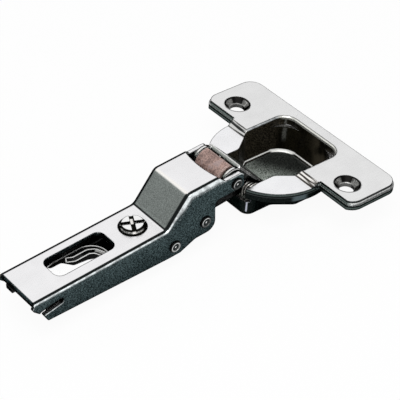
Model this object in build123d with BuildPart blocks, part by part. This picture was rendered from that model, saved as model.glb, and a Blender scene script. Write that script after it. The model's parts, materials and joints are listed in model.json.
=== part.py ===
from build123d import *
import math
import os

# Soft-close concealed hinge with a cranked arm and a 35 mm cup, in its open position.
# X runs forward along the arm, Z is up and Y = 0 is the plane of symmetry.
# The origin is on the arm's flat top face, just in front of its rear end. Lengths are in millimetres.

# Arm, pressed from sheet; its front parts are measured from the front end of the crank's top
arm_width = 16.0
arm_sheet = 1.2
arm_bend = 1.7
arm_rear_length = 41.35
crank_rise = 8.4
crank_run = 7.3
crank_top_length = 10.2
lower_fold_radius = 2.0
upper_fold_radius = 2.4
front_edge_hollow = 0.8
flank_rear_depth = 7.05
flank_front_depth = 9.0
flank_knee_depth = 7.1
flank_setback = 1.95
ear_reach = 7.9
ear_bottom = 1.9
ear_top = 7.0
lug_reach = 1.4
tail_overhang = 0.3
tail_mouth_round = 0.4
tail_slot_radius = 0.85
tail_slot_length = 5.6
tail_slot_tilt = 9.0
edge_break = 0.25

# Window in the arm's top
window_length = 18.6
window_width = 7.75
window_corner = 2.2
window_centre_x = 18.9
window_centre_y = 0.43

# Slide and clamp plate inside the arm
slide_side_gap = 0.15
slide_top_gap = 0.2
slide_sheet = 1.3
slide_flank_depth = 7.6
slide_nose = 2.6
slide_tab_reach = 0.9
slide_tab_width = 2.8
slide_tab_y = 3.2
keyhole_rear_x = 10.4
keyhole_front_x = 28.6
keyhole_far_y = 4.6
keyhole_neck_y = 2.0
keyhole_neck_end_x = 14.2
keyhole_bay_x = 16.2
keyhole_bay_y = -0.8
keyhole_mouth_x = 20.2
keyhole_mouth_y = -1.4
keyhole_near_x = 24.6
keyhole_near_y = -3.4
keyhole_round = 1.2
clamp_gap = 0.7
clamp_sheet = 1.1
clamp_rear_x = 8.7
clamp_front_x = 27.1
clamp_slot_width = 1.3
clamp_slot_bend = 1.2
clamp_slot_start_x = 17.0
clamp_slot_start_y = 3.6
clamp_slot_rear_x = 18.7
clamp_slot_y = 2.65
clamp_slot_front_x = 23.2
clamp_slot_turn_x = 24.7
clamp_slot_turn_y = 1.7
clamp_slot_end_x = 25.7
clamp_slot_end_y = -0.6

# Side adjusting screw
side_screw_x = 35.7
side_screw_head_radius = 3.6
side_screw_head_height = 1.3
side_screw_head_taper = 24.0
side_screw_head_round = 0.3
side_screw_hole_gap = 0.22
side_screw_neck_radius = 2.4
side_screw_neck_gap = 0.2
side_screw_collar_radius = 3.3
side_screw_collar_height = 1.0
cross_slot_width = 1.1
cross_slot_depth = 0.9
cross_slot_turn = -28.0

# Rivets through the flanks
rivet_head_radius = 1.8
rivet_head_height = 0.5
rivet_ring_radius = 1.15
rivet_ring_width = 0.3
rivet_ring_depth = 0.18
rivet_dimple_radius = 0.45
slide_rivet_radius = 1.5
slide_rivet_advance = 1.89
slide_rivet_z = -5.89
link_pin_radius = 1.5
rear_pin_setback = 5.29
rear_pin_z = -3.14
front_pin_inset = 2.46
front_pin_z = 4.11
running_gap = 0.05
seat_gap = 0.02

# Outer link, damper and washers
outer_link_tilt = 49.6
outer_link_width = 12.8
outer_link_sheet = 1.2
outer_link_web = 4.35
outer_link_start = -0.8
outer_link_reach = 14.0
outer_link_cheek_radius = 3.7
outer_link_cheek_reach = 4.6
outer_link_tongue_width = 4.8
outer_link_bend = 0.9
washer_radius = 2.7
washer_gap = 0.05
damper_radius = 4.2
damper_web_gap = 0.25
damper_length = 9.6
damper_cap_thickness = 0.35
damper_cap_radius = 2.85
rotor_radius = 2.5
rotor_gap = 0.1
rotor_end_gap = 0.2

# Inner link
inner_link_width = 7.8
inner_link_depth = 2.6
inner_link_eye_wall = 1.0
inner_link_fork_gap = 5.2
inner_link_fork_length = 5.6
inner_link_slot_gap = 0.93
inner_link_slot_shift_x = 0.76
inner_link_slot_shift_z = 0.42
spacer_wall = 0.8
spacer_gap = 0.1

# Cup, tilted with the open door; both its pins are placed from its centre, u along and h above
cup_tilt = 5.17
outer_cup_pin_u = -8.527
outer_cup_pin_h = -6.055
inner_cup_pin_shift_u = -3.573
inner_cup_pin_shift_h = 1.855
plate_length = 60.5
plate_rear = 0.58
plate_front = 19.76
plate_thickness = 2.6
plate_corner = 4.4
plate_step = 0.45
plate_step_depth = 1.1
plate_notch = 0.7
plate_notch_reach = 17.8
screw_spacing = 45.0
screw_offset = 7.0
screw_hole_radius = 2.1
screw_sink_radius = 3.65
screw_sink_angle = 90.0
rim_radius = 17.4
rim_drop = 1.5
rim_thickness = 3.0
throat_half_width = 7.4
throat_end = 5.5
recess_half_width = 11.2
recess_front = 15.6
recess_corner = 4.0
bowl_rear = 14.6
bowl_wall = 0.9
bowl_depth = 12.0
bowl_floor = 1.0
bowl_taper = 3.5
bowl_corner = 2.6
bowl_far_corner = 7.0
bowl_floor_fillet = 1.8
front_wall_drop = 6.8
opening_bevel = 0.35
opening_bevel_angle = 45.0

# Pins and springs in the cup
cup_pin_radius = 1.25
cup_pin_end = 8.2
spring_wire = 0.4
spring_pin_gap = 0.2
spring_pitch = 0.88
spring_turns = 2.25
spring_link_gap = 0.15
spring_wall_leg = 2.1
spring_top_leg = 1.0

# Values worked out from the driving ones
half_width = arm_width / 2
inner_half = half_width - arm_sheet
fold_x = arm_rear_length
top_fold_x = fold_x + crank_run
top_end_x = top_fold_x + crank_top_length
flank_end_x = top_end_x - flank_setback
ear_end_x = top_end_x + ear_reach
slide_rivet_x = fold_x + slide_rivet_advance
rear_pin_x = top_end_x - rear_pin_setback
front_pin_x = ear_end_x - front_pin_inset
fold_shift = arm_sheet * math.tan(math.atan2(crank_rise, crank_run) / 2)
beyond_all = 2 * ear_end_x
below_all = 2 * flank_front_depth
slide_half = inner_half - slide_side_gap
slide_top = -arm_sheet - slide_top_gap
slide_under = slide_top - slide_sheet
clamp_top = slide_under - clamp_gap
cheek_outer = outer_link_width / 2
cheek_inner = cheek_outer - outer_link_sheet
web_inner = outer_link_web - outer_link_sheet
eye_radius = cup_pin_radius + running_gap + outer_link_sheet
eye_perp = outer_link_web - eye_radius
link_tilt = math.radians(outer_link_tilt)
tilt = math.radians(cup_tilt)
damper_flat = web_inner - damper_web_gap
spacer_radius = link_pin_radius + spacer_wall
spring_radius = cup_pin_radius + spring_pin_gap + spring_wire

link_plane = Plane(
    origin=(front_pin_x, 0, front_pin_z),
    x_dir=(math.cos(link_tilt), 0, -math.sin(link_tilt)),
    z_dir=(0, -1, 0),
)
outer_cup_pin_place = link_plane.from_local_coords(Vector(outer_link_reach, eye_perp, 0))
cup_forward = Vector(math.cos(tilt), 0, -math.sin(tilt))
cup_upward = Vector(math.sin(tilt), 0, math.cos(tilt))
inner_cup_pin_shift = cup_forward * inner_cup_pin_shift_u + cup_upward * inner_cup_pin_shift_h
inner_cup_pin_place = outer_cup_pin_place + inner_cup_pin_shift
cup_plane = Plane(
    origin=outer_cup_pin_place - cup_forward * outer_cup_pin_u - cup_upward * outer_cup_pin_h,
    x_dir=cup_forward,
    z_dir=cup_upward,
)


def side_plane(y):
    """Plane of a side view at the given y, looking along +Y."""
    return Plane.XZ.offset(-y)


def corner(shape, x, y):
    """The sketch corner nearest to a point."""
    return shape.vertices().sort_by_distance(Vector(x, y, 0))[0]


os.makedirs("parts", exist_ok=True)

# Arm: the folded top with its long bends, cut to the side outline
with BuildPart() as hinge_arm:
    with BuildSketch(Plane.XZ) as folded_top:
        with BuildLine():
            Polyline(
                (-2 * lug_reach, 0),
                (fold_x, 0),
                (top_fold_x, crank_rise),
                (beyond_all, crank_rise),
                (beyond_all, -below_all),
                (-2 * lug_reach, -below_all),
                (-2 * lug_reach, 0),
            )
        make_face()
        fillet(corner(folded_top, fold_x, 0), lower_fold_radius)
        fillet(corner(folded_top, top_fold_x, crank_rise), upper_fold_radius)
    extrude(amount=half_width, both=True)
    side_edges = hinge_arm.edges().filter_by(lambda edge: abs(edge.center().Y) > inner_half)
    fillet(side_edges.filter_by(lambda edge: edge.center().Z > -seat_gap), arm_bend)
    with BuildSketch(Plane.XZ) as arm_side:
        with BuildLine():
            Polyline(
                (-tail_overhang, 2 * crank_rise),
                (top_end_x, 2 * crank_rise),
                (top_end_x, crank_rise),
                (top_end_x + lug_reach, ear_top),
                (ear_end_x, ear_top),
                (ear_end_x, ear_bottom),
                (flank_end_x, ear_bottom),
                (flank_end_x, -flank_knee_depth),
                (top_fold_x + lug_reach, -flank_knee_depth),
                (slide_rivet_x + rivet_head_radius, -flank_front_depth),
                (fold_x, -flank_front_depth),
                (2 * lug_reach, -flank_rear_depth),
                (lug_reach, lug_reach * 2 - flank_rear_depth),
                (-lug_reach, -lug_reach),
                (-tail_overhang, 0),
                (-tail_overhang, 2 * crank_rise),
            )
        make_face()
        fillet(corner(arm_side, top_end_x + lug_reach, ear_top), lug_reach)
        fillet(corner(arm_side, ear_end_x, ear_top), lug_reach)
        fillet(corner(arm_side, ear_end_x, ear_bottom), lug_reach / 2)
        fillet(corner(arm_side, flank_end_x, ear_bottom), lug_reach)
        fillet(corner(arm_side, flank_end_x, -flank_knee_depth), 2 * lug_reach)
        fillet(corner(arm_side, top_fold_x + lug_reach, -flank_knee_depth), 2 * lug_reach)
        fillet(corner(arm_side, slide_rivet_x + rivet_head_radius, -flank_front_depth), lug_reach)
        fillet(corner(arm_side, fold_x, -flank_front_depth), 2 * lug_reach)
        fillet(corner(arm_side, 2 * lug_reach, -flank_rear_depth), lug_reach / 2)
        fillet(corner(arm_side, -lug_reach, -lug_reach), lug_reach / 3)
    extrude(amount=arm_width, both=True, mode=Mode.INTERSECT)
    with BuildSketch(Plane.XZ) as channel_side:
        with BuildLine():
            Polyline(
                (-2 * lug_reach, -arm_sheet),
                (fold_x + fold_shift, -arm_sheet),
                (top_fold_x + fold_shift, crank_rise - arm_sheet),
                (beyond_all, crank_rise - arm_sheet),
                (beyond_all, -below_all),
                (-2 * lug_reach, -below_all),
                (-2 * lug_reach, -arm_sheet),
            )
        make_face()
        fillet(corner(channel_side, fold_x + fold_shift, -arm_sheet), lower_fold_radius + arm_sheet)
        fillet(
            corner(channel_side, top_fold_x + fold_shift, crank_rise - arm_sheet),
            upper_fold_radius - arm_sheet,
        )
    extrude(amount=inner_half, both=True, mode=Mode.SUBTRACT)
    with BuildSketch(Plane.XY.offset(crank_rise)):
        with Locations((-tail_overhang - lug_reach, 0)):
            Rectangle(2 * lug_reach, 2 * inner_half)
    extrude(amount=-below_all, mode=Mode.SUBTRACT)
    hollow_radius = (inner_half**2 + front_edge_hollow**2) / (2 * front_edge_hollow)
    with BuildSketch(Plane.XY.offset(2 * crank_rise)):
        with Locations((top_end_x - front_edge_hollow + hollow_radius, 0)):
            Circle(hollow_radius)
        with Locations((top_end_x, 0)):
            Rectangle(4 * lug_reach, 2 * inner_half, mode=Mode.INTERSECT)
    extrude(amount=-crank_rise - 2 * arm_sheet, mode=Mode.SUBTRACT)
    with BuildSketch(Plane.XY):
        with Locations((window_centre_x, window_centre_y)):
            RectangleRounded(window_length, window_width, window_corner)
        with Locations((side_screw_x, 0)):
            Circle(side_screw_head_radius + side_screw_hole_gap)
    extrude(amount=2 * arm_sheet, both=True, mode=Mode.SUBTRACT)
    with BuildSketch(Plane.XZ):
        with Locations((slide_rivet_x, slide_rivet_z)):
            Circle(slide_rivet_radius + seat_gap)
        with Locations((rear_pin_x, rear_pin_z), (front_pin_x, front_pin_z)):
            Circle(link_pin_radius + seat_gap)
        with Locations(Location((lug_reach, -flank_rear_depth / 2 - edge_break, 0), (0, 0, tail_slot_tilt))):
            with Locations((tail_slot_length / 2, 0)):
                SlotCenterToCenter(tail_slot_length, 2 * tail_slot_radius)
    extrude(amount=arm_width, both=True, mode=Mode.SUBTRACT)
    mouth_edges = hinge_arm.edges().filter_by(Axis.Y).filter_by(lambda edge: edge.center().X < 2 * lug_reach)
    mouth_edges = mouth_edges.filter_by(
        lambda edge: abs(edge.center().Z + flank_rear_depth / 2 + edge_break) < 2 * tail_slot_radius
    )
    fillet(mouth_edges, tail_mouth_round)
hinge_arm.part.label = "hinge_arm"
export_step(hinge_arm.part, "parts/hinge_arm.step")

# Slide: channel with a keyhole slot, round noses at the rivet and a tab at the rear
with BuildPart() as inner_slide:
    with BuildSketch(Plane.XZ) as slide_side:
        with BuildLine():
            Polyline(
                (0, slide_top),
                (slide_rivet_x, slide_top),
                (slide_rivet_x + slide_nose, slide_rivet_z),
                (slide_rivet_x, slide_rivet_z - slide_nose),
                (slide_rivet_x - slide_nose, slide_rivet_z - slide_nose),
                (4 * lug_reach, -slide_flank_depth + edge_break),
                (2 * lug_reach, slide_under - lug_reach),
                (0, slide_under),
                (0, slide_top),
            )
        make_face()
        with Locations((slide_rivet_x, slide_rivet_z)):
            Circle(slide_nose)
    extrude(amount=slide_half, both=True)
    with BuildSketch(Plane.XY.offset(slide_under)):
        with Locations((slide_rivet_x, 0)):
            Rectangle(4 * slide_rivet_x, 2 * (slide_half - slide_sheet))
    extrude(amount=-below_all, mode=Mode.SUBTRACT)
    fillet(
        inner_slide.edges().filter_by(Axis.X).group_by(Axis.Z)[-1],
        slide_sheet / 2,
    )
    with BuildSketch(Plane.XY.offset(slide_top)):
        with Locations((0, slide_tab_y)):
            RectangleRounded(2 * slide_tab_reach, slide_tab_width, edge_break)
    extrude(amount=-slide_sheet)
    with BuildSketch(Plane.XY.offset(slide_top)) as keyhole:
        with BuildLine():
            Polyline(
                (keyhole_rear_x, keyhole_far_y),
                (keyhole_rear_x, keyhole_neck_y),
                (keyhole_neck_end_x, keyhole_neck_y),
                (keyhole_bay_x, keyhole_bay_y),
                (keyhole_mouth_x, keyhole_mouth_y),
                (keyhole_near_x, keyhole_near_y),
                (keyhole_front_x, keyhole_near_y),
                (keyhole_front_x, keyhole_far_y),
                (keyhole_rear_x, keyhole_far_y),
            )
        make_face()
        fillet(keyhole.vertices(), keyhole_round)
        with Locations((side_screw_x, 0)):
            Circle(side_screw_neck_radius + side_screw_neck_gap)
    extrude(amount=-slide_sheet, mode=Mode.SUBTRACT)
    with BuildSketch(Plane.XZ):
        with Locations((slide_rivet_x, slide_rivet_z)):
            Circle(slide_rivet_radius + seat_gap)
    extrude(amount=arm_width, both=True, mode=Mode.SUBTRACT)
inner_slide.part.label = "inner_slide"
export_step(inner_slide.part, "parts/inner_slide.step")

# Clamp plate under the slide, with round ends and a bent slot
with BuildPart() as slide_clamp:
    with BuildSketch(Plane.XY.offset(clamp_top)):
        with Locations(((clamp_rear_x + clamp_front_x) / 2, 0)):
            SlotOverall(clamp_front_x - clamp_rear_x, 2 * (slide_half - slide_sheet - slide_side_gap))
    extrude(amount=-clamp_sheet)
    with BuildSketch(Plane.XY.offset(clamp_top)):
        with BuildLine():
            FilletPolyline(
                (clamp_slot_start_x, clamp_slot_start_y),
                (clamp_slot_rear_x, clamp_slot_y),
                (clamp_slot_front_x, clamp_slot_y),
                (clamp_slot_turn_x, clamp_slot_turn_y),
                (clamp_slot_end_x, clamp_slot_end_y),
                radius=clamp_slot_bend,
            )
        trace(line_width=clamp_slot_width)
    extrude(amount=-clamp_sheet, mode=Mode.SUBTRACT)
slide_clamp.part.label = "slide_clamp"
export_step(slide_clamp.part, "parts/slide_clamp.step")

# Side adjusting screw: raised head with a cross cut through it, neck through the slide, collar
with BuildPart() as side_screw:
    with BuildSketch(Plane.XY):
        with Locations((side_screw_x, 0)):
            Circle(side_screw_head_radius)
    extrude(amount=slide_top + slide_top_gap / 2)
    with BuildSketch(Plane.XY):
        with Locations((side_screw_x, 0)):
            Circle(side_screw_head_radius)
    extrude(amount=side_screw_head_height, taper=side_screw_head_taper)
    fillet(side_screw.edges().group_by(Axis.Z)[-1], side_screw_head_round)
    with BuildSketch(Plane.XY):
        with Locations((side_screw_x, 0)):
            Circle(side_screw_neck_radius)
    extrude(amount=slide_under - slide_top_gap / 2)
    with BuildSketch(Plane.XY.offset(slide_under - slide_top_gap / 2)):
        with Locations((side_screw_x, 0)):
            Circle(side_screw_collar_radius)
    extrude(amount=-side_screw_collar_height)
    chamfer(side_screw.edges().group_by(Axis.Z)[0], edge_break)
    with BuildSketch(Plane.XY.offset(side_screw_head_height)) as cross_cut:
        with Locations((side_screw_x, 0)):
            Rectangle(2 * side_screw_head_radius, cross_slot_width, rotation=cross_slot_turn)
            Rectangle(cross_slot_width, 2 * side_screw_head_radius, rotation=cross_slot_turn)
        fillet(
            cross_cut.vertices().sort_by_distance(Vector(side_screw_x, 0, 0))[:4],
            edge_break,
        )
    extrude(amount=-cross_slot_depth, mode=Mode.SUBTRACT)
side_screw.part.label = "side_screw"
export_step(side_screw.part, "parts/side_screw.step")


def rivet(x, z, radius):
    """A rivet across the arm with a ringed and dimpled head at each end."""
    with BuildPart() as rivet_body:
        with BuildSketch(Plane.XZ):
            with Locations((x, z)):
                Circle(radius)
        extrude(amount=half_width, both=True)
        for side in (-1, 1):
            head_face = Plane(origin=(x, side * half_width, z), x_dir=(1, 0, 0), z_dir=(0, side, 0))
            with BuildSketch(head_face):
                Circle(rivet_head_radius)
            extrude(amount=rivet_head_height)
            with BuildSketch(head_face.offset(rivet_head_height)):
                Circle(rivet_ring_radius)
                Circle(rivet_ring_radius - rivet_ring_width, mode=Mode.SUBTRACT)
                Circle(rivet_dimple_radius)
            extrude(amount=-rivet_ring_depth, mode=Mode.SUBTRACT)
        rims = [
            face.outer_wire().edges()[0]
            for face in rivet_body.faces().filter_by(Plane.XZ)
            if abs(abs(face.center().Y) - half_width - rivet_head_height) < seat_gap
            and face.outer_wire().edges()[0].radius > rivet_ring_radius
        ]
        chamfer(rims, edge_break)
    return rivet_body.part


# Rivets: slide, rear link pin and front link pin
for rivet_name, rivet_x, rivet_z, rivet_radius in (
    ("slide_rivet", slide_rivet_x, slide_rivet_z, slide_rivet_radius),
    ("rear_link_pin", rear_pin_x, rear_pin_z, link_pin_radius),
    ("front_link_pin", front_pin_x, front_pin_z, link_pin_radius),
):
    rivet_part = rivet(rivet_x, rivet_z, rivet_radius)
    rivet_part.label = rivet_name
    export_step(rivet_part, f"parts/{rivet_name}.step")

# Sleeves that centre the inner link on the rear pin, and washers beside the outer link
spacer_start = inner_link_width / 2 + spacer_gap
washer_start = cheek_outer + washer_gap
for side, side_name in ((-1, "near"), (1, "far")):
    with BuildPart() as link_spacer:
        with BuildSketch(side_plane(side * spacer_start)):
            with Locations((rear_pin_x, rear_pin_z)):
                Circle(spacer_radius)
                Circle(link_pin_radius + seat_gap, mode=Mode.SUBTRACT)
        extrude(amount=-side * (inner_half - seat_gap - spacer_start))
    link_spacer.part.label = f"link_spacer_{side_name}"
    export_step(link_spacer.part, f"parts/link_spacer_{side_name}.step")
    with BuildPart() as link_washer:
        with BuildSketch(side_plane(side * washer_start)):
            with Locations((front_pin_x, front_pin_z)):
                Circle(washer_radius)
                Circle(link_pin_radius + seat_gap, mode=Mode.SUBTRACT)
        extrude(amount=-side * (inner_half - seat_gap - washer_start))
    link_washer.part.label = f"link_washer_{side_name}"
    export_step(link_washer.part, f"parts/link_washer_{side_name}.step")

# Outer link: two cheeks round the front pin, a flat web and an eye rolled round the cup pin
with BuildPart() as outer_link:
    with BuildSketch(link_plane) as link_side:
        Circle(outer_link_cheek_radius)
        with BuildLine():
            Polyline(
                (outer_link_start, 0),
                (outer_link_start, outer_link_web),
                (outer_link_reach, outer_link_web),
                (outer_link_reach, web_inner),
                (outer_link_cheek_reach, web_inner),
                (outer_link_cheek_radius - edge_break, 0),
                (outer_link_start, 0),
            )
        make_face()
    extrude(amount=cheek_outer, both=True)
    web_edges = outer_link.edges().filter_by(lambda edge: abs(edge.center().Y) > cheek_inner)
    web_top = link_plane.from_local_coords(Vector(outer_link_reach / 2, outer_link_web, 0))
    fillet(
        web_edges.filter_by(lambda edge: abs(edge.center().X - web_top.X) < outer_link_sheet).filter_by(
            lambda edge: edge.center().Z > web_top.Z - outer_link_sheet
        ),
        outer_link_bend,
    )
    with BuildSketch(link_plane):
        with Locations((0, web_inner - outer_link_reach / 2)):
            Rectangle(4 * outer_link_reach, outer_link_reach)
        with Locations((outer_link_start - outer_link_reach / 2, 0)):
            Rectangle(outer_link_reach, 2 * outer_link_reach)
    extrude(amount=cheek_inner, both=True, mode=Mode.SUBTRACT)
    with BuildSketch(link_plane):
        with Locations((outer_link_reach, eye_perp)):
            Circle(eye_radius)
    extrude(amount=outer_link_tongue_width / 2, both=True)
    with BuildSketch(link_plane):
        with Locations((outer_link_reach, eye_perp)):
            Circle(cup_pin_radius + running_gap)
        Circle(link_pin_radius + running_gap)
    extrude(amount=cheek_outer, both=True, mode=Mode.SUBTRACT)
outer_link.part.label = "outer_link"
export_step(outer_link.part, "parts/outer_link.step")

# Damper: a D-shaped barrel with its flat under the web, two end caps and the rotor
with BuildPart() as damper_barrel:
    with BuildSketch(link_plane):
        Circle(damper_radius)
        with Locations((0, damper_flat + damper_radius)):
            Rectangle(4 * damper_radius, 2 * damper_radius, mode=Mode.SUBTRACT)
        Circle(rotor_radius + rotor_gap, mode=Mode.SUBTRACT)
    extrude(amount=damper_length / 2, both=True)
    chamfer(
        damper_barrel.edges().filter_by(GeomType.CIRCLE).filter_by(lambda edge: edge.radius > damper_flat),
        edge_break,
    )
damper_barrel.part.label = "damper_barrel"
export_step(damper_barrel.part, "parts/damper_barrel.step")

for side, side_name in ((-1, "near"), (1, "far")):
    with BuildPart() as damper_cap:
        with BuildSketch(side_plane(side * damper_length / 2)):
            with Locations((front_pin_x, front_pin_z)):
                Circle(damper_cap_radius)
                Circle(link_pin_radius + running_gap, mode=Mode.SUBTRACT)
        extrude(amount=-side * damper_cap_thickness)
    damper_cap.part.label = f"damper_cap_{side_name}"
    export_step(damper_cap.part, f"parts/damper_cap_{side_name}.step")

with BuildPart() as damper_rotor:
    with BuildSketch(link_plane):
        Circle(rotor_radius)
        Circle(link_pin_radius + seat_gap, mode=Mode.SUBTRACT)
    extrude(amount=damper_length / 2 - rotor_end_gap, both=True)
damper_rotor.part.label = "damper_rotor"
export_step(damper_rotor.part, "parts/damper_rotor.step")

# Inner link: a bar with an eye at each end, forked where it straddles the outer link's eye
inner_pin_x = inner_cup_pin_place.X
inner_pin_z = inner_cup_pin_place.Z
link_slot_x = rear_pin_x + inner_link_slot_shift_x
link_slot_z = rear_pin_z + inner_link_slot_shift_z
link_slot_radius = link_pin_radius + inner_link_slot_gap
with BuildPart() as inner_link:
    with BuildSketch(Plane.XZ):
        with Locations((link_slot_x, link_slot_z)):
            Circle(link_slot_radius + inner_link_eye_wall)
        with Locations((inner_pin_x, inner_pin_z)):
            Circle(cup_pin_radius + running_gap + inner_link_eye_wall)
        with BuildLine():
            Polyline(
                (link_slot_x, link_slot_z + inner_link_depth / 2),
                (inner_pin_x, inner_pin_z + inner_link_depth / 2),
                (inner_pin_x, inner_pin_z - inner_link_depth / 2),
                (link_slot_x, link_slot_z - inner_link_depth / 2 - inner_link_eye_wall),
                (link_slot_x, link_slot_z + inner_link_depth / 2),
            )
        make_face()
    extrude(amount=inner_link_width / 2, both=True)
    with BuildSketch(Plane.XY.offset(inner_pin_z)):
        with Locations((inner_pin_x, 0)):
            SlotCenterToCenter(2 * inner_link_fork_length, inner_link_fork_gap)
    extrude(amount=2 * inner_link_depth, both=True, mode=Mode.SUBTRACT)
    with BuildSketch(Plane.XZ):
        with Locations((link_slot_x, link_slot_z)):
            Circle(link_slot_radius)
        with Locations((inner_pin_x, inner_pin_z)):
            Circle(cup_pin_radius + running_gap)
    extrude(amount=inner_link_width, both=True, mode=Mode.SUBTRACT)
inner_link.part.label = "inner_link"
export_step(inner_link.part, "parts/inner_link.step")


def cup_outline(growth, far_corner):
    """Plan outline of the throat and the recess, grown outwards by a wall."""
    with BuildSketch(mode=Mode.PRIVATE) as outline:
        with BuildLine():
            Polyline(
                (-bowl_rear, -throat_half_width),
                (-throat_end, -throat_half_width),
                (0, -recess_half_width),
                (recess_front, -recess_half_width),
                (recess_front, recess_half_width),
                (0, recess_half_width),
                (-throat_end, throat_half_width),
                (-bowl_rear, throat_half_width),
                (-bowl_rear, -throat_half_width),
            )
        make_face()
        for v_side in (-1, 1):
            fillet(corner(outline, recess_front, v_side * recess_half_width), far_corner)
            fillet(corner(outline, 0, v_side * recess_half_width), bowl_corner)
            fillet(corner(outline, -throat_end, v_side * throat_half_width), bowl_corner)
            fillet(corner(outline, -bowl_rear, v_side * throat_half_width), bowl_corner)
        if growth > 0:
            offset(amount=growth, kind=Kind.ARC)
    return outline.sketch


# Cavity of the cup, tapered and rounded at the floor
with BuildPart() as cup_cavity:
    with BuildSketch(cup_plane):
        add(cup_outline(0, bowl_far_corner))
    extrude(amount=-(bowl_depth - bowl_floor), taper=bowl_taper)
    fillet(cup_cavity.faces().sort_by(Axis.Z)[0].edges(), bowl_floor_fillet)
    with BuildSketch(cup_plane):
        add(cup_outline(0, recess_corner))
    extrude(amount=-plate_thickness, taper=bowl_taper)
    with BuildSketch(cup_plane):
        add(cup_outline(opening_bevel, recess_corner))
    extrude(amount=-opening_bevel, taper=opening_bevel_angle)

# Cup: bowl, rim disc, stepped plate, ramps to the rim, screw holes and pin holes
with BuildPart() as hinge_cup:
    with BuildSketch(cup_plane.offset(-rim_drop)):
        add(cup_outline(bowl_wall, bowl_far_corner))
    extrude(amount=rim_drop - bowl_depth, taper=bowl_taper)
    fillet(hinge_cup.faces().sort_by(Axis.Z)[0].edges(), bowl_floor_fillet)
    with BuildSketch(cup_plane.offset(-rim_drop)):
        Circle(rim_radius)
    extrude(amount=-rim_thickness)
    plate_centre = (plate_rear + plate_front) / 2
    with BuildSketch(cup_plane.offset(-plate_step_depth)) as lower_plate:
        with Locations((plate_centre, 0)):
            RectangleRounded(plate_front - plate_rear, plate_length, plate_corner)
        with Locations((plate_rear, -plate_length / 2), (plate_rear, plate_length / 2)):
            Rectangle(2 * plate_notch, plate_length - 2 * plate_notch_reach, mode=Mode.SUBTRACT)
    extrude(amount=plate_step_depth - plate_thickness)
    with BuildSketch(cup_plane) as upper_plate:
        with Locations((plate_centre, 0)):
            RectangleRounded(
                plate_front - plate_rear - 2 * plate_step,
                plate_length - 2 * plate_step,
                plate_corner - plate_step,
            )
        with Locations((plate_rear, -plate_length / 2), (plate_rear, plate_length / 2)):
            Rectangle(
                2 * plate_notch + 2 * plate_step,
                plate_length - 2 * plate_notch_reach,
                mode=Mode.SUBTRACT,
            )
    extrude(amount=-plate_step_depth)
    ramp_plane = Plane(
        origin=cup_plane.from_local_coords(Vector(0, 0, 0)), x_dir=cup_plane.x_dir, z_dir=(0, -1, 0)
    )
    with BuildSketch(ramp_plane):
        with BuildLine():
            Polyline(
                (plate_rear + 2 * plate_step, 0),
                (plate_rear + plate_step, 0),
                (plate_rear - rim_drop, -rim_drop),
                (plate_rear + 2 * plate_step, -rim_drop),
                (plate_rear + 2 * plate_step, 0),
            )
        make_face()
    extrude(amount=rim_radius, both=True)
    add(cup_cavity.part, mode=Mode.SUBTRACT)
    with BuildSketch(cup_plane):
        with Locations((-bowl_rear, 0)):
            Rectangle(2 * bowl_corner, 2 * throat_half_width)
        with Locations((-rim_radius, 0)):
            Rectangle(2 * bowl_corner, 2 * throat_half_width)
    extrude(amount=-front_wall_drop, mode=Mode.SUBTRACT)
    with Locations(cup_plane):
        with Locations((screw_offset, screw_spacing / 2, 0), (screw_offset, -screw_spacing / 2, 0)):
            CounterSinkHole(
                radius=screw_hole_radius,
                counter_sink_radius=screw_sink_radius,
                counter_sink_angle=screw_sink_angle,
            )
    with BuildSketch(Plane.XZ):
        with Locations(
            (outer_cup_pin_place.X, outer_cup_pin_place.Z),
            (inner_pin_x, inner_pin_z),
        ):
            Circle(cup_pin_radius + seat_gap)
    extrude(amount=cup_pin_end + seat_gap, both=True, mode=Mode.SUBTRACT)
hinge_cup.part.label = "hinge_cup"
export_step(hinge_cup.part, "parts/hinge_cup.step")

# Pins across the cup
for pin_name, pin_place in (
    ("outer_cup_pin", outer_cup_pin_place),
    ("inner_cup_pin", inner_cup_pin_place),
):
    with BuildPart() as cup_pin:
        with BuildSketch(Plane.XZ):
            with Locations((pin_place.X, pin_place.Z)):
                Circle(cup_pin_radius)
        extrude(amount=cup_pin_end, both=True)
        chamfer(cup_pin.edges().filter_by(GeomType.CIRCLE), edge_break)
    cup_pin.part.label = pin_name
    export_step(cup_pin.part, f"parts/{pin_name}.step")

# Closing springs, coiled round the inner cup pin: one leg by the front wall, one under the web
with BuildPart() as closing_spring:
    with BuildLine() as spring_line:
        coil = Helix(pitch=spring_pitch, height=spring_pitch * spring_turns, radius=spring_radius)
        Line(coil @ 0 - (coil % 0) * spring_wall_leg, coil @ 0)
        Line(coil @ 1, coil @ 1 + (coil % 1) * spring_top_leg)
    spring_path = spring_line.wire()
    with BuildSketch(Plane(origin=spring_path @ 0, z_dir=spring_path % 0)):
        Circle(spring_wire)
    sweep(path=spring_path, transition=Transition.ROUND)
spring_start = inner_link_width / 2 + spring_link_gap + spring_wire
spring_plane = Plane(origin=(inner_pin_x, spring_start, inner_pin_z), x_dir=(-1, 0, 0), z_dir=(0, 1, 0))
far_spring = spring_plane * closing_spring.part
for spring_part, side_name in ((mirror(far_spring, about=Plane.XZ), "near"), (far_spring, "far")):
    spring_part.label = f"closing_spring_{side_name}"
    export_step(spring_part, f"parts/closing_spring_{side_name}.step")
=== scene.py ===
import json
import math
from collections import namedtuple
from types import SimpleNamespace

import bpy
from mathutils import Matrix, Vector


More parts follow.
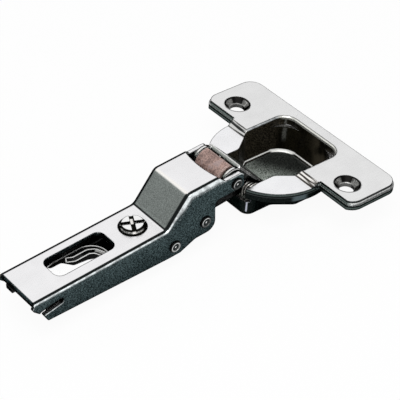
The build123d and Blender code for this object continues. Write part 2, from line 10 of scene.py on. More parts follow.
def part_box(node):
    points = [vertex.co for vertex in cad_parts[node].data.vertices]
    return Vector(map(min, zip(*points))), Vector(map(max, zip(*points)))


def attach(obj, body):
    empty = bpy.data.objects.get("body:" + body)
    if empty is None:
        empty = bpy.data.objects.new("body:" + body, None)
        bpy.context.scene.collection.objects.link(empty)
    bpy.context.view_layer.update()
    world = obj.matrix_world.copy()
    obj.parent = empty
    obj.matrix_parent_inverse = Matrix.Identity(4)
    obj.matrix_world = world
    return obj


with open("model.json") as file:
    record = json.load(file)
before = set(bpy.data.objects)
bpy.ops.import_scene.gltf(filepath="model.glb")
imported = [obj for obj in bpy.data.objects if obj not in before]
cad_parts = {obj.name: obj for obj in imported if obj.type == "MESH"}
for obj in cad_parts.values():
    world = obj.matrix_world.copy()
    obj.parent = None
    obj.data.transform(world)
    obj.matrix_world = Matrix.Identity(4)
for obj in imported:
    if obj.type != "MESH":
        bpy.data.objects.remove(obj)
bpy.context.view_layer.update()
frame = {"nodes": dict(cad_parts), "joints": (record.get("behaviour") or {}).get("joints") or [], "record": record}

MM = 0.001
FORWARD = (1.0, 0.0, 0.0)
LEFT = (0.0, 1.0, 0.0)
UP = (0.0, 0.0, 1.0)
WHITE = (1, 1, 1, 1)

MOUNTS = {mount["name"]: mount for mount in frame["record"]["mounts"]}
JOINTS = {joint["name"]: joint for joint in frame["joints"]}

# The arm lies along the frame's axes. The cup's own axes lean with its plate and start on the plate's
# top face, straight over the rim's mount
ARM_AXES = (FORWARD, LEFT, UP)
RIM_DEPTH = 3.55 * MM
CUP_UP = -Vector(MOUNTS["cup_rim"]["axis"])
CUP_FORWARD = Vector((CUP_UP.z, 0.0, -CUP_UP.x))
CUP_AXES = (tuple(CUP_FORWARD), LEFT, tuple(CUP_UP))
CUP_CENTRE = Vector(MOUNTS["cup_rim"]["pos_m"]) + RIM_DEPTH * CUP_UP
HOLE_FORWARD = (Vector(MOUNTS["cup_screws"]["pos_m"]) - CUP_CENTRE).dot(CUP_FORWARD)
HOLE_ASIDE = MOUNTS["cup_screws"]["dims"]["pcd_mm"] / 2 * MM
SCREW_CENTRE = tuple(JOINTS["side_screw_turn"]["pos_m"])

# Below, a pair of lengths in millimetres is where a tone starts and where it is full.
# Four lengths are a band: start, full, still full, end

# Along the arm, across it, and down its flanks
TAB_END = (4.0, 2.0)
TAIL_END = (12.0, 11.0)
CRANK_FOOT = (43.5, 47.0)
EAR_START = (61.5, 62.5)
NEAR_EDGE = (5.9, 6.3)
PIN_HEADS = (7.0, 7.3)
UNDER_TOP_EDGE = (-2.3, -2.7)
FLANK_HEIGHTS = (-8.0, -1.5)

# Over the top face of the cup's plate
CRESCENT_HEIGHTS = (-2.0, -1.7, -1.35, -1.2)
SHELL_TOP = (-2.3, -2.7)
RIM_LINE_HEIGHTS = (-2.95, -2.75, -2.55, -2.35)
CORNER_GLINT_TOP = (-4.6, -4.9)
RIM_GLINT_BOTTOM = (-4.4, -4.0)
BRIM_BOTTOM = (-2.75, -2.6)
UPPER_TIER = (-1.25, -1.0, -0.7, -0.45)
LOWER_TIER = (-2.35, -2.15, -1.85, -1.65)
RAMP_BOTTOM = (-2.0, -1.6)
WALL_TOP = (-0.35, -0.55)
WALL_BRINK_HEIGHTS = (-1.0, -0.85, -0.6, -0.45)
CORNER_SEAM_HEIGHTS = (-8.0, -5.0)
LIP_BOTTOM = (-0.9, -0.7)
PLATE_TOP = (-0.3, -0.15)
FLOOR_TOP = (-8.8, -9.4)
CAVITY_BOTTOM = (-11.3, -11.2)

# Round the middle of the recess, and round the axis of a countersunk hole
RECESS_MIDDLE = 4.0
PAST_RAMPS = (17.6, 17.9)
SINK_RADIUS = (3.9, 3.75)
SINK_GLINT_RADIUS = (3.45, 3.2)
THROAT_RADII = (2.05, 2.15, 2.25, 2.4)
BRINK_RADII = (3.65, 3.8, 3.9, 4.05)

# On the side screw's head, and round the axis of a rivet
STREAK_HEIGHTS = (0.30, 0.48, 0.68, 0.86)
SLOT_FLOOR = (0.95, 0.70)
PALE_MIDDLE = (0.2, 0.5, 2.2, 2.5)
PALE_MIDDLE_WIDTH = (0.42, 0.34)
PALE_END = (-2.5, -2.8)
PALE_END_WIDTH = (0.55, 0.45)
RING_RADII = (0.98, 1.12, 1.32, 1.48)
DIMPLE_RADIUS = (0.34, 0.22)
HEAD_RADIUS = (1.5, 1.66)

# Rounding of edges, in millimetres
SHEET_EDGE = 0.36
WIDE_EDGE = 0.75
MOUTH_EDGE = 0.6
CLAMP_EDGE = 0.6
SCREW_EDGE = 0.2
TURNED_EDGE = 0.16
MOULDED_EDGE = 0.25

# Painted outlines fade in over this much of a face's upward turn
OUTLINE_FADE = 0.09

# Ways in which a surface faces, where it is lit or dark
BOWL_CORNER_WAY = (-0.74, -0.67, 0.0)
RIM_GLINT_WAY = (-0.26, -0.966, 0.0)
RECESS_CORNER_WAY = (-0.707, -0.707, 0.0)
SINK_LEFT_WAY = (0.27, -0.96, 0.0)
SINK_RIGHT_WAY = (-0.985, 0.17, 0.0)
HEAD_NEAR_WAY = (-0.64, -0.77, 0.0)
UPPER_REAR_WAY = (-0.45, 0.0, 0.89)
RING_LIT_WAY = (-0.5, 0.0, 0.87)

# Ways in which the side screw's two slots run
SLOT_WAY = (0.47, 0.883, 0.0)
CROSS_SLOT_WAY = (0.883, -0.47, 0.0)

# Noise scales, per metre
CLOUD = 170.0
PATCHES = 420.0
SPECKLE = 2900.0
FINE_GRAIN = 5200.0
DRAWN_LINES = (90.0, 2200.0, 2200.0)
RAMP_STREAKS = (1500.0, 90.0, 1500.0)
TURNED_GRAIN = 2600.0
MOULDED_GRAIN = 2300.0

# Painted light and shade of a plated piece, set by the way each face turns: faces that look up painted bright,
# slopes mid grey, sides dark, the painted highlight band of a bend, the painted dark line beside it
Tones = namedtuple("Tones", "top slope side glow line")
# Painted shade: the dark line beside bends and along edges, and the dark of faces that turn down
PAINTED_SHADE_DARK = (0.010, 0.012, 0.012, 1)
# Painted: a mid grey for slopes, a pale highlight along the crest of the crank's upper fold, a grey for faces that
# look straight down
SLOPE_GREY = (0.132, 0.146, 0.139, 1)
CREST_PALE = (0.87, 0.85, 0.82, 1)
UNDERSIDE_GREY = (0.20, 0.20, 0.20)
ARM_TONES = Tones(
    top=(0.84, 0.835, 0.845, 1),
    slope=SLOPE_GREY,
    side=(0.029, 0.041, 0.043, 1),
    glow=(0.84, 0.89, 0.90, 1),
    line=PAINTED_SHADE_DARK,
)
CUP_TONES = Tones(
    top=(0.785, 0.785, 0.785, 1),
    slope=SLOPE_GREY,
    side=(0.012, 0.016, 0.016, 1),
    glow=(0.45, 0.47, 0.48, 1),
    line=PAINTED_SHADE_DARK,
)
SLIDE_TONES = Tones(
    top=(1.0, 1.0, 1.0, 1),
    slope=(0.10, 0.10, 0.10, 1),
    side=(0.012, 0.012, 0.012, 1),
    glow=(0.30, 0.30, 0.30, 1),
    line=PAINTED_SHADE_DARK,
)
# Painted shade on the slide's tab behind the arm's rear end
SLIDE_TAB_SHADE = (0.014, 0.014, 0.014, 1)
# The clamp painted black as shade under the arm, with a painted white highlight along its edges
CLAMP_BLACK = (0.003, 0.003, 0.003, 1)
CLAMP_TONES = Tones(CLAMP_BLACK, CLAMP_BLACK, CLAMP_BLACK, CLAMP_BLACK, line=(1.0, 1.0, 0.98, 1))
# Tones of the dark sheet that stands in for shade under the clamp
SHADE_SHEET_TONES = Tones(
    top=(0.010, 0.010, 0.010, 1),
    slope=(0.010, 0.010, 0.010, 1),
    side=(0.006, 0.006, 0.006, 1),
    glow=(0.02, 0.02, 0.02, 1),
    line=(0.010, 0.010, 0.010, 1),
)
OUTER_LINK_TONES = Tones(
    top=(0.86, 0.86, 0.85, 1),
    slope=(0.17, 0.185, 0.172, 1),
    side=(0.020, 0.021, 0.020, 1),
    glow=(0.60, 0.60, 0.59, 1),
    line=PAINTED_SHADE_DARK,
)
OUTER_LINK_SHINE = (0.92, 0.92, 0.91, 1)
INNER_LINK_TONES = Tones(
    top=(0.62, 0.61, 0.60, 1),
    slope=(0.06, 0.06, 0.06, 1),
    side=(0.012, 0.012, 0.012, 1),
    glow=(0.40, 0.39, 0.38, 1),
    line=PAINTED_SHADE_DARK,
)
SCREW_TONES = Tones(
    top=(0.90, 0.90, 0.90, 1),
    slope=(0.10, 0.10, 0.09, 1),
    side=(0.010, 0.010, 0.010, 1),
    glow=(0.16, 0.15, 0.13, 1),
    line=(0.015, 0.015, 0.015, 1),
)

# Tones laid over the cup's plating, most of them painted light and shade. A pair goes from dark to light
# Painted light: the up-facing tops of the crescents paler than the plate
CRESCENT_PALE = (0.88, 0.88, 0.895)
# Painted shade: the outside of rim and bowl black, with painted glints on the bowl's corner and the rim's side
SHELL_SHADE = ((0.0030, 0.0042, 0.0040, 1), (0.013, 0.017, 0.016, 1))
RIM_LINE = (0.09, 0.10, 0.10, 1)
CORNER_GLINT = (0.55, 0.57, 0.66, 1)
RIM_GLINT = (0.10, 0.13, 0.14, 1)
# Painted glint bands on the plate's outer edge: the pale one brighter where the edge faces the near side, a dark
# band and a grey lower one
BRIM_GLINT = ((0.13, 0.16, 0.15, 1), (0.74, 0.75, 0.74, 1))
BRIM_DARK = (0.006, 0.008, 0.008, 1)
BRIM_LOWER = (0.16, 0.20, 0.19, 1)
# The near ramp painted lighter than the far one, as if lit
NEAR_RAMP = ((0.045, 0.040, 0.035, 1), (0.78, 0.76, 0.73, 1))
FAR_RAMP = ((0.025, 0.026, 0.026, 1), (0.50, 0.50, 0.49, 1))
# Painted shade: the recess walls brown black, with painted sheen, a painted glint down the corner and a painted
# lighter band below the brink
WALL_SHADE = ((0.0009, 0.0008, 0.0003, 1), (0.013, 0.011, 0.0065, 1))
WALL_SHEEN = (0.065, 0.055, 0.038, 1)
WALL_CORNER = (0.18, 0.18, 0.165, 1)
WALL_BRINK = (0.26, 0.26, 0.24, 1)
# A painted dark line round the mouth of the recess and a painted highlight on its lip
VERGE_DARK = (0.012, 0.012, 0.011, 1)
LIP_HIGHLIGHT = (0.50, 0.50, 0.47, 1)
# A painted highlight along the seam of the recess walls and floor, and the floor painted dark as shade
SEAM_HIGHLIGHT = (1.0, 1.0, 0.97, 1)
RECESS_FLOOR_SHADE = ((0.020, 0.025, 0.021, 1), (0.25, 0.275, 0.25, 1))
# Painted shade: the countersinks dark, with painted glints, a painted highlight round the throat and a painted
# dark band on the brink's near side
SINK_DARK = (0.0045, 0.0042, 0.0040, 1)
SINK_GLINT = ((0.045, 0.045, 0.042, 1), (0.30, 0.30, 0.29, 1))
SINK_THROAT = (0.42, 0.42, 0.41, 1)
SINK_BRINK = (0.08, 0.08, 0.08, 1)
MATT_WALL = 0.85
MATT_FLOOR = 0.8

# Painted light and shade of the side screw's head: black for shade on the flank and in the slots, pale for light
# painted on the slot floor, a painted highlight streak
SLOT_BLACK = (0.007, 0.007, 0.006, 1)
SLOT_PALE = (0.85, 0.83, 0.80, 1)
HEAD_STREAK = ((0.05, 0.05, 0.045, 1), (0.62, 0.62, 0.60, 1))

# Turned steel: a face painted dark, a painted highlight for the lit ring, painted shade for the groove. Plastic:
# light, dark and a painted highlight for its edges
RIVET_TONES = ((0.022, 0.026, 0.026, 1), (0.70, 0.71, 0.70, 1), (0.005, 0.005, 0.005, 1))
WIRE_TONES = ((0.11, 0.11, 0.10, 1), (0.40, 0.39, 0.37, 1), (0.02, 0.02, 0.02, 1))
# A painted highlight in the dimple of a rivet head
DIMPLE_WHITE = (0.85, 0.86, 0.85, 1)
PLASTIC_TONES = ((0.48, 0.32, 0.275, 1), (0.17, 0.108, 0.095, 1), (0.90, 0.78, 0.74, 1))
PLASTIC_CLOUD = (0.24, 0.23, 0.26, 1)


class Graph:
    """Short names for building a node tree."""

    def __init__(self, tree):
        self.tree = tree
        self.tree.nodes.clear()

    def join(self, value, socket):
        if isinstance(value, bpy.types.NodeSocket):
            self.tree.links.new(value, socket)
        else:
            socket.default_value = value

    def node(self, kind, inputs=None, **settings):
        made = self.tree.nodes.new(kind)
        for name, value in settings.items():
            setattr(made, name, value)
        for name, value in (inputs or {}).items():
            self.join(value, made.inputs[name])
        return made

    def math(self, operation, a, b=0.0):
        return self.node("ShaderNodeMath", {0: a, 1: b}, operation=operation).outputs[0]

    def both(self, *factors):
        """The product: full where every factor is."""
        product = factors[0]
        for factor in factors[1:]:
            product = self.math("MULTIPLY", product, factor)
        return product

    def add(self, a, b):
        return self.math("ADD", a, b)

    def less(self, a, b):
        return self.math("SUBTRACT", a, b)

    def ratio(self, a, b):
        return self.math("DIVIDE", a, b)

    def larger(self, a, b):
        return self.math("MAXIMUM", a, b)

    def size(self, value):
        return self.math("ABSOLUTE", value)

    def distance(self, a, b):
        return self.math("SQRT", self.add(self.both(a, a), self.both(b, b)))

    def ramp(self, value, low, high, out_low=0.0, out_high=1.0):
        """A smooth step. Where low is above high it falls as the value rises."""
        limits = {"Value": value, "From Min": low, "From Max": high, "To Min": out_low, "To Max": out_high}
        return self.node("ShaderNodeMapRange", limits, interpolation_type="SMOOTHSTEP").outputs["Result"]

    def ramp_mm(self, value, low, high, *out):
        return self.ramp(value, low * MM, high * MM, *out)

    def band(self, value, low, inner_low, inner_high, high):
        """Full between the inner limits, nothing outside the outer ones."""
        return self.both(self.ramp(value, low, inner_low), self.ramp(value, high, inner_high))

    def band_mm(self, value, *limits):
        return self.band(value, *(limit * MM for limit in limits))

    def mix(self, factor, a, b):
        made = self.node("ShaderNodeMix", data_type="RGBA")
        self.join(factor, made.inputs[0])
        self.join(a, made.inputs[6])
        self.join(b, made.inputs[7])
        return made.outputs[2]

    def speckled(self, noise, low, high, tones):
        """From the first tone to the second as the noise rises."""
        return self.mix(self.ramp(noise, low, high), *tones)

    def scaled(self, colour, factor):
        first = colour if isinstance(colour, bpy.types.NodeSocket) else colour[:3]
        return self.node("ShaderNodeVectorMath", {0: first, "Scale": factor}, operation="SCALE").outputs[0]

    def vector(self, operation, a, b):
        return self.node("ShaderNodeVectorMath", {0: a, 1: b}, operation=operation).outputs[0]

    def dot(self, vector, direction):
        made = self.node("ShaderNodeVectorMath", {0: vector, 1: direction}, operation="DOT_PRODUCT")
        return made.outputs["Value"]

    def along(self, vector, axes):
        return [self.dot(vector, axis) for axis in axes]

    def noise(self, vector, scale, detail=2.0, roughness=0.55):
        settings = {"Vector": vector, "Scale": scale, "Detail": detail, "Roughness": roughness}
        return self.node("ShaderNodeTexNoise", settings).outputs["Fac"]

    def stretched(self, vector, scale):
        return self.node("ShaderNodeMapping", {"Vector": vector, "Scale": scale}).outputs["Vector"]

    def where(self):
        """The place in the piece's own coordinates, which are the row frame's on a CAD node."""
        return self.node("ShaderNodeTexCoord").outputs["Object"]

    def bevel(self, radius_mm, samples=8):
        """The normal with the edges rounded off."""
        return self.node("ShaderNodeBevel", {"Radius": radius_mm * MM}, samples=samples).outputs["Normal"]

    def to_object(self, normal):
        settings = {"vector_type": "NORMAL", "convert_from": "WORLD", "convert_to": "OBJECT"}
        return self.node("ShaderNodeVectorTransform", {"Vector": normal}, **settings).outputs["Vector"]

    def flat_normal(self):
        """The bare face's normal, in the piece's own axes."""
        return self.to_object(self.node("ShaderNodeNewGeometry").outputs["True Normal"])

    def relief(self, height, strength, distance_mm, **normal):
        inputs = {"Height": height, "Strength": strength, "Distance": distance_mm * MM, **normal}
        return self.node("ShaderNodeBump", inputs).outputs["Normal"]

    def surface(self, inputs):
        """Ends the tree in one Principled surface."""
        shader = self.node("ShaderNodeBsdfPrincipled", inputs)
        self.node("ShaderNodeOutputMaterial", {"Surface": shader.outputs["BSDF"]})

    def backdrop_rays(self):
        """1 for the rays that see the white backdrop, straight or in a reflection."""
        seen = self.node("ShaderNodeLightPath")
        return self.larger(seen.outputs["Is Camera Ray"], seen.outputs["Is Glossy Ray"])


def new_material(name):
    """A material and the graph of its empty node tree."""
    material = bpy.data.materials.new(name)
    material.use_nodes = True
    return material, Graph(material.node_tree)


def cup_shell(g, colour, face):
    """The up-facing crescent tops painted paler, and the outside of rim and bowl painted black as shade, with
    painted glints.
    """
    crescent = g.both(g.ramp(face.up, 0.95, 0.99), g.band_mm(face.height, *CRESCENT_HEIGHTS))
    colour = g.mix(crescent, colour, g.scaled(CRESCENT_PALE, g.ramp(face.cloud, 0.3, 0.7, 0.97, 1.02)))

    shell = g.speckled(face.grit, 0.4, 0.62, SHELL_SHADE)
    shell = g.mix(g.both(g.band_mm(face.height, *RIM_LINE_HEIGHTS), 0.5), shell, RIM_LINE)
    bowl_corner = g.ramp(g.dot(face.sideways, BOWL_CORNER_WAY), 0.9915, 0.9965)
    shell = g.mix(g.both(bowl_corner, g.ramp_mm(face.height, *CORNER_GLINT_TOP), 0.85), shell, CORNER_GLINT)
    rim_side = g.ramp(g.dot(face.sideways, RIM_GLINT_WAY), 0.988, 0.999)
    shell = g.mix(g.both(rim_side, g.ramp_mm(face.height, *RIM_GLINT_BOTTOM), 0.8), shell, RIM_GLINT)
    outside = g.both(g.ramp_mm(face.height, *SHELL_TOP), face.facing_out, g.ramp(face.up, 0.7, 0.5))
    return g.mix(outside, colour, shell)


def cup_brim(g, colour, face):
    """The outer edge of the plate, painted in bands: a pale glint band, brighter on the near side, over a dark one
    and a grey one.
    """
    upright = g.both(g.ramp(face.up, 0.6, 0.35), g.ramp(face.up, -0.7, -0.5))
    brim = g.both(g.ramp_mm(face.height, *BRIM_BOTTOM), upright, g.ramp_mm(face.reach, *PAST_RAMPS))
    pale = g.mix(g.ramp(face.left, -0.55, -0.85), *BRIM_GLINT)
    tier = g.mix(g.band_mm(face.height, *UPPER_TIER), BRIM_DARK, pale)
    tier = g.mix(g.both(g.band_mm(face.height, *LOWER_TIER), 0.45), tier, BRIM_LOWER)
    return g.mix(brim, colour, g.scaled(tier, g.ramp(face.grit, 0.4, 0.62, 0.7, 1.25)))


def cup_ramps(g, colour, face):
    """The two streaked ramps from the plate down to the rim, the near one painted lighter as if lit."""
    near = g.ramp_mm(face.across, 1.0, -1.0)
    on_ramp = g.both(
        g.ramp(face.fore, -0.35, -0.55),
        g.band(face.up, 0.45, 0.6, 0.85, 0.93),
        g.ramp_mm(face.height, *RAMP_BOTTOM),
        g.ramp_mm(face.reach, *reversed(PAST_RAMPS)),
    )
    streak = g.noise(g.stretched(face.where, RAMP_STREAKS), 1.0)
    near_tone = g.speckled(streak, 0.47, 0.58, NEAR_RAMP)
    far_tone = g.speckled(streak, 0.44, 0.56, FAR_RAMP)
    return g.mix(on_ramp, colour, g.mix(near, far_tone, near_tone))


def cup_walls(g, colour, face):
    """The walls of the recess painted brown black as shade, with painted sheen and glints. The second value is
    where they are.
    """
    wall = g.speckled(face.grit, 0.36, 0.66, WALL_SHADE)
    wall = g.scaled(wall, g.ramp(face.cloud, 0.35, 0.65, 0.6, 1.6))
    front_sheen = g.both(g.ramp(face.fore, -0.80, -0.98), g.ramp_mm(face.across, 2.0, -5.0))
    front_sheen = g.both(front_sheen, g.ramp(face.cloud, 0.36, 0.62))
    far_sheen = g.both(g.ramp(face.left, -0.80, -0.98), g.ramp(face.grit, 0.44, 0.60), 0.8)
    wall = g.mix(g.larger(front_sheen, far_sheen), wall, WALL_SHEEN)
    corner = g.ramp(g.dot(face.sideways, RECESS_CORNER_WAY), 0.990, 0.998)
    corner = g.both(corner, g.ramp_mm(face.height, *CORNER_SEAM_HEIGHTS), g.ramp(face.grit, 0.36, 0.56), 0.7)
    wall = g.mix(corner, wall, WALL_CORNER)
    brink = g.both(g.band_mm(face.height, *WALL_BRINK_HEIGHTS), g.ramp(face.fore, -0.3, -0.6))
    wall = g.mix(brink, wall, WALL_BRINK)
    in_recess = g.both(face.facing_in, g.ramp_mm(face.height, *WALL_TOP), face.above_bottom)
    on_wall = g.both(in_recess, g.ramp(face.up, 0.95, 0.8))
    return g.mix(on_wall, colour, wall), on_wall


def cup_mouth(g, colour, face):
    """The edge of the recess: a painted dark line on the plate and a painted highlight on the lip inside it."""
    leaning = g.to_object(g.bevel(MOUTH_EDGE))
    leaning_fore = g.both(g.dot(leaning, CUP_AXES[0]), face.from_middle)
    leaning_left = g.both(g.dot(leaning, CUP_AXES[1]), face.across)
    outward = g.ratio(g.add(leaning_fore, leaning_left), face.reach)
    flat_up = g.dot(face.flat, CUP_AXES[2])
    verge = g.both(g.ramp(outward, -0.04, -0.14), g.ramp(flat_up, 0.97, 0.99))
    verge = g.both(verge, g.ramp_mm(face.height, *PLATE_TOP), 0.9)
    colour = g.mix(verge, colour, VERGE_DARK)
    lip = g.both(face.facing_in, g.band(face.up, 0.22, 0.40, 0.84, 0.94), g.ramp(face.fore, -0.05, -0.25))
    lip = g.both(lip, g.ramp_mm(face.height, *LIP_BOTTOM), g.ramp(flat_up, 0.97, 0.90))
    return g.mix(lip, colour, LIP_HIGHLIGHT)


def cup_floor(g, colour, face):
    """The floor of the recess painted dark as shade, darker away from the arm, and a painted highlight along the
    seam round it.
    The second value is where the floor is."""
    deep = g.both(g.ramp_mm(face.height, *FLOOR_TOP), face.above_bottom)
    in_corner = g.ramp(g.both(face.fore, face.left), 0.06, 0.16)
    broad = g.both(g.band(face.up, 0.34, 0.42, 0.74, 0.84), in_corner)
    seam = g.both(g.larger(g.band(face.up, 0.42, 0.50, 0.58, 0.66), broad), deep, face.facing_in)
    colour = g.mix(seam, colour, SEAM_HIGHLIGHT)
    away_from_arm = g.add(g.both(face.along, 0.85), g.both(face.across, 0.50))
    bottom = g.speckled(face.grit, 0.40, 0.60, RECESS_FLOOR_SHADE)
    bottom = g.scaled(bottom, g.ramp_mm(away_from_arm, 1.0, 10.0, 2.3, 0.17))
    on_floor = g.both(g.ramp(face.up, 0.75, 0.9), deep)
    return g.mix(on_floor, colour, bottom), on_floor


def cup_sinks(g, colour, face):
    """The countersinks painted dark as shade, with two painted glints, a painted highlight line round the throat
    and a painted grey band on the brink's near side.
    """
    forward = g.less(face.along, HOLE_FORWARD)
    aside = g.less(g.size(face.across), HOLE_ASIDE)
    away = g.distance(forward, aside)
    sink = g.both(g.ramp_mm(away, *SINK_RADIUS), g.ramp(face.up, 0.93, 0.86), g.ramp(face.up, -0.5, -0.3))
    left = g.ramp(g.dot(face.sideways, SINK_LEFT_WAY), 0.60, 0.67)
    right = g.ramp(g.dot(face.sideways, SINK_RIGHT_WAY), 0.60, 0.67)
    sink_glint = g.both(g.larger(left, right), g.ramp(face.up, 0.3, 0.5), g.ramp_mm(away, *SINK_GLINT_RADIUS))
    tone = g.mix(sink_glint, SINK_DARK, g.speckled(face.grit, 0.4, 0.6, SINK_GLINT))
    throat = g.both(g.band_mm(away, *THROAT_RADII), g.ramp(face.left, 0.1, -0.3), 0.6)
    colour = g.mix(sink, colour, g.mix(throat, tone, SINK_THROAT))

    to_left = g.both(aside, g.ramp_mm(face.across, -1.0, 1.0, -1.0, 1.0))
    near_side = g.ramp_mm(g.add(g.both(forward, 0.64), g.both(to_left, 0.77)), -1.0, -2.0)
    brink = g.both(g.band_mm(away, *BRINK_RADII), near_side, g.ramp_mm(face.height, -0.3, -0.1), 0.75)
    return g.mix(brink, colour, SINK_BRINK)


def cup_colour(g, colour, face):
    """The cup's tones over its plating, most of them painted light and shade, and how matt the surface is."""
    face.from_middle = g.less(face.along, RECESS_MIDDLE * MM)
    face.reach = g.distance(face.from_middle, face.across)
    outward = g.add(g.both(face.fore, face.from_middle), g.both(face.left, face.across))
    outward = g.ratio(outward, face.reach)
    face.facing_in = g.ramp(outward, -0.02, -0.22)
    face.facing_out = g.ramp(outward, 0.05, 0.25)
    face.above_bottom = g.ramp_mm(face.height, *CAVITY_BOTTOM)
    colour = cup_shell(g, colour, face)
    colour = cup_brim(g, colour, face)
    colour = cup_ramps(g, colour, face)
    colour, on_wall = cup_walls(g, colour, face)
    colour = cup_mouth(g, colour, face)
    colour, on_floor = cup_floor(g, colour, face)
    colour = cup_sinks(g, colour, face)
    return colour, g.larger(g.both(on_wall, MATT_WALL), g.both(on_floor, MATT_FLOOR))


def screw_colour(g, colour, face):
    """The side screw's head: a flank painted dark with a painted lit streak, cross slots painted dark with two
    painted pale stretches of light.
    """
    flank = g.both(g.ramp(face.up, 0.955, 0.90), g.ramp(face.up, -0.2, 0.1))
    near_side = g.ramp(g.dot(face.sideways, HEAD_NEAR_WAY), 0.25, 0.6)
    streak = g.both(g.band_mm(face.height, *STREAK_HEIGHTS), near_side)
    streak_tone = g.speckled(face.grit, 0.40, 0.60, HEAD_STREAK)
    colour = g.mix(flank, colour, g.mix(streak, SLOT_BLACK, streak_tone))

    away = g.vector("SUBTRACT", face.where, SCREW_CENTRE)
    lengthwise = g.dot(away, SLOT_WAY)
    crosswise = g.size(g.dot(away, CROSS_SLOT_WAY))
    middle = g.both(g.band_mm(lengthwise, *PALE_MIDDLE), g.ramp_mm(crosswise, *PALE_MIDDLE_WIDTH))
    end = g.both(g.ramp_mm(lengthwise, *PALE_END), g.ramp_mm(crosswise, *PALE_END_WIDTH))
    slot_floor = g.both(g.ramp_mm(face.height, *SLOT_FLOOR), g.ramp(face.up, 0.8, 0.9))
    return g.mix(slot_floor, colour, g.mix(g.larger(middle, end), SLOT_BLACK, SLOT_PALE)), None


def slide_colour(g, colour, face):
    """Paints shade on the slide's tab behind the arm's rear end."""
    return g.mix(g.ramp_mm(face.along, *TAB_END), colour, SLIDE_TAB_SHADE), None


def add_noise(g, face, tones):
    """The plating's grain, clouds and drawn lines, its tones varied by them, and painted shade that darkens the
    sides towards the bottom of the flanks.
    """
    face.cloud = g.noise(face.where, CLOUD)
    speckle = g.noise(face.where, SPECKLE, roughness=0.7)
    fine = g.noise(face.where, FINE_GRAIN, roughness=0.6)
    face.grit = g.add(g.both(speckle, 0.55), g.both(fine, 0.45))
    face.drawn = g.noise(g.stretched(face.where, DRAWN_LINES), 1.0, 3.0, 0.6)
    spots = g.ramp(face.grit, 0.42, 0.62, 0.34, 2.50)
    face.mottle = g.both(spots, g.ramp(face.cloud, 0.32, 0.68, 0.92, 1.08))
    # Painted shade: the sides darker towards the bottom of the flanks
    upwards = g.ramp_mm(g.dot(face.where, UP), *FLANK_HEIGHTS, 0.86, 1.30)
    face.side_tone = g.scaled(tones.side, g.both(face.mottle, upwards))
    face.slope_tone = g.scaled(tones.slope, g.ramp(face.grit, 0.40, 0.62, 0.66, 1.34))
    wash = g.add(g.both(face.cloud, 0.6), g.both(face.drawn, 0.4))
    face.top_tone = g.scaled(tones.top, g.ramp(wash, 0.32, 0.68, 0.965, 1.025))
    # The painted highlight band of the bends varied in patches
    patches = g.ramp(g.noise(face.where, PATCHES), 0.38, 0.58, 0.55, 1.05)
    face.glow_tone = g.scaled(tones.glow, g.both(g.ramp(face.grit, 0.38, 0.62, 0.80, 1.12), patches))


def faces_and_bends(g, face, tones):
    """Painted light and shade by the way the plating faces, with a painted highlight band and a painted dark line
    along each bend.
    """
    colour = g.mix(g.ramp(face.up, 0.10, 0.50), face.side_tone, face.slope_tone)
    # A painted pale highlight on the crest of the crank's upper fold, in place of the dark line
    crest = g.both(face.raised, g.ramp(face.fore, -0.10, -0.16))
    colour = g.mix(g.both(g.ramp(face.up, 0.84, 0.915), g.less(1.0, crest)), colour, tones.line)
    colour = g.mix(g.both(g.ramp(face.up, 0.76, 0.92), crest), colour, CREST_PALE)
    colour = g.mix(g.ramp(face.up, 0.955, 0.985), colour, face.top_tone)
    colour = g.mix(g.ramp(face.aside, 0.05, 0.13), colour, tones.line)
    lit = g.both(g.ramp(face.left, 0.1, -0.1), g.ramp(face.up, 0.12, 0.30))
    colour = g.mix(g.both(g.ramp(face.aside, 0.47, 0.57), lit), colour, face.glow_tone)
    spread = g.less(face.aside, g.both(face.raised, 0.20))
    colour = g.mix(g.ramp(spread, 0.60, 0.80), colour, face.side_tone)
    # A painted dark line where the crank's slope meets the near bend
    near_edge = g.ramp_mm(g.dot(face.where, (0.0, -1.0, 0.0)), *NEAR_EDGE)
    fold = g.both(near_edge, g.ramp(face.fore, -0.40, -0.50), g.ramp(face.aside, 0.50, 0.40))
    return g.mix(fold, colour, tones.line)


def flank_edges(g, colour, face, axes):
    """On upright faces: a painted highlight on the lip under the upper edges of tail and ear, a softer one on the
    crank, and painted dark lines along the lower and rear edges."""
    leaning = g.to_object(g.bevel(WIDE_EDGE))
    leaning_up = g.dot(leaning, axes[2])
    leaning_back = g.ramp(g.dot(leaning, axes[0]), -0.15, -0.35)
    upright = g.ramp(g.size(g.dot(face.flat, axes[1])), 0.93, 0.97)
    at_tail = g.both(g.ramp_mm(face.ahead, *TAIL_END), g.ramp_mm(g.dot(face.where, UP), *UNDER_TOP_EDGE))
    at_ear = g.ramp_mm(face.ahead, *EAR_START)
    lip = g.both(g.larger(at_tail, at_ear), g.ramp(leaning_up, 0.06, 0.22))
    soft_lip = g.both(face.raised, g.ramp(leaning_up, 0.02, 0.25), g.ramp(face.grit, 0.42, 0.60), 0.55)
    lip = g.both(upright, g.larger(lip, soft_lip), g.ramp(face.aside, 0.5, 0.8))
    colour = g.mix(lip, colour, face.glow_tone)
    colour = g.mix(g.both(upright, g.ramp(leaning_up, -0.10, -0.26)), colour, PAINTED_SHADE_DARK)
    return g.mix(g.both(upright, leaning_back), colour, PAINTED_SHADE_DARK)


